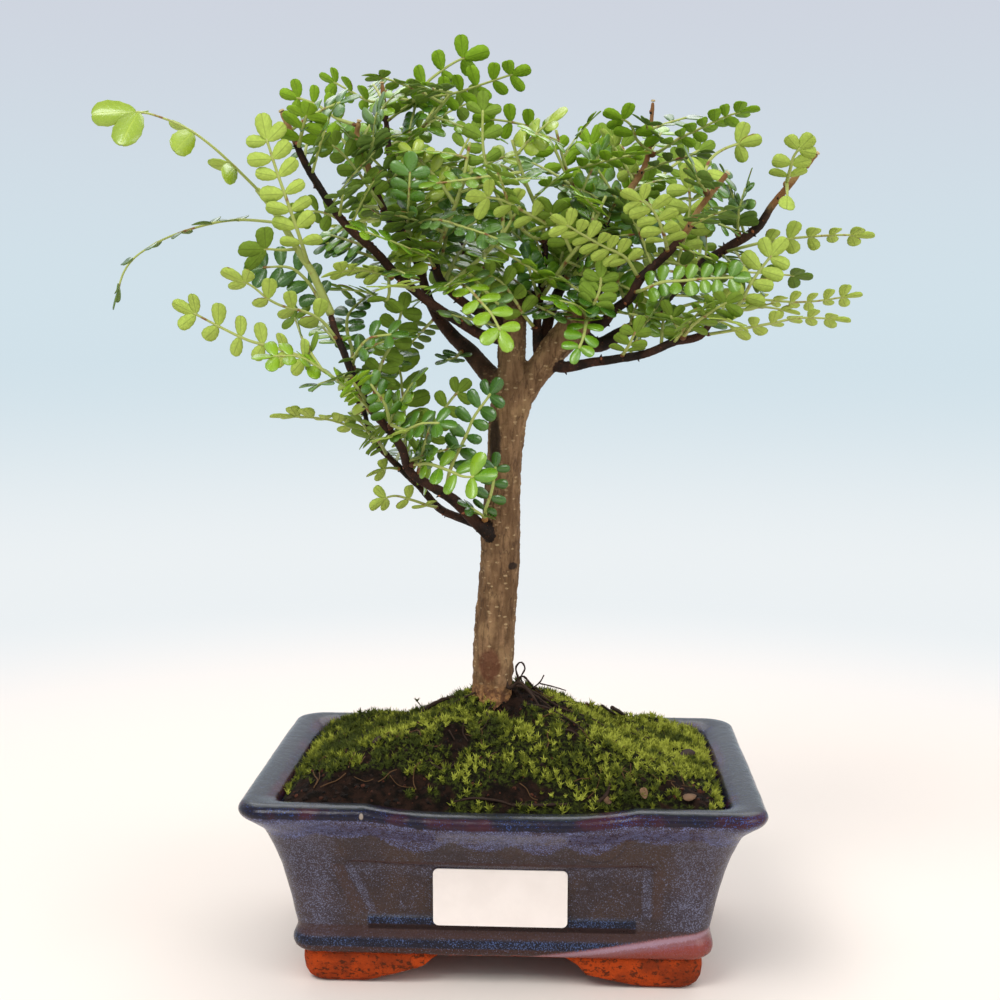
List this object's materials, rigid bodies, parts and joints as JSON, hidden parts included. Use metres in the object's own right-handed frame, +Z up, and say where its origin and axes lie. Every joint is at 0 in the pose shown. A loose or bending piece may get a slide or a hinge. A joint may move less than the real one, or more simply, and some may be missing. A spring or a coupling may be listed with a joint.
{
  "type": "japanese pepper bonsai",
  "caption": "Small potted tree: straight trunk, spreading limbs with feathery compound leaves, soil mound, and a rectangular glazed pot on feet with a blank label.",
  "frame": {"origin": "on the resting plane, below the middle of the whole plant's bounding box", "axes": "+Z up, -Y towards the side with the label, +X to the right seen from there"},
  "size_m": [0.2284, 0.1238, 0.2818],
  "materials": {
    "glazed_pot": "semi-gloss dark blue grey glaze, bare terracotta feet",
    "mesh_plastic": "matt",
    "soil": "rough, mossy",
    "label_paper": "smooth, blank",
    "bark": "finely fissured bark",
    "leaf_young": "soft yellow green",
    "leaf_mid": "satin mid green",
    "leaf_dark": "glossy dark green"
  },
  "bodies": {
    "root": {"pot": "glazed_pot", "drain_mesh": "mesh_plastic", "soil": "soil", "wood": "bark", "label": "label_paper", "leaves_left_shoot": "leaf_young", "leaves_left_yellow": "leaf_young", "leaves_left_middle": "leaf_mid", "leaves_left_low": "leaf_young", "leaves_left_under": "leaf_young", "leaves_left_tail": "leaf_young", "leaves_fork_bright": "leaf_mid", "leaves_fork_tall": "leaf_young", "leaves_fork_dark": "leaf_dark", "leaves_trunk_sprig": "leaf_dark", "leaves_low_dark": "leaf_dark", "leaves_low_edge": "leaf_mid", "leaves_low_under": "leaf_young", "leaves_left_rows": "leaf_young", "leaves_behind_edge": "leaf_mid", "leaves_behind_low": "leaf_dark", "leaves_left_upper": "leaf_young", "leaves_inner_tip": "leaf_mid", "leaves_inner_glossy": "leaf_dark", "leaves_inner_edge": "leaf_mid", "leaves_inner_wide": "leaf_mid", "leaves_inner_pair": "leaf_dark", "leaves_top_left": "leaf_mid", "leaves_top_behind": "leaf_young", "leaves_top_middle": "leaf_young", "leaves_centre_glossy": "leaf_mid", "leaves_right_fork": "leaf_mid", "leaves_right_row": "leaf_dark", "leaves_right_yellow": "leaf_young", "leaves_right_lime": "leaf_young", "leaves_right_tip": "leaf_mid", "leaves_outer_yellow": "leaf_young", "leaves_outer_low": "leaf_young", "leaves_outer_long": "leaf_young", "leaves_outer_under": "leaf_mid", "leaves_outer_glossy": "leaf_dark", "leaves_outer_tip": "leaf_young", "leaves_low_right_tip": "leaf_young", "leaves_low_right_long": "leaf_young", "leaves_low_right_middle": "leaf_mid", "leaves_low_right_first": "leaf_dark", "leaves_upright_left": "leaf_dark", "leaves_upright_right": "leaf_dark", "leaves_upright_top": "leaf_mid", "leaves_upright_back": "leaf_mid", "leaves_upright_row": "leaf_young", "leaves_middle_dark": "leaf_dark", "leaves_upright_inner": "leaf_mid", "leaves_crotch": "leaf_young", "leaves_centre_back": "leaf_mid", "leaves_upper_middle": "leaf_dark", "leaves_back_left_tip": "leaf_mid", "leaves_back_left_low": "leaf_dark", "leaves_back_right_tip": "leaf_mid", "leaves_back_right_low": "leaf_dark"}
  },
  "joints": []
}
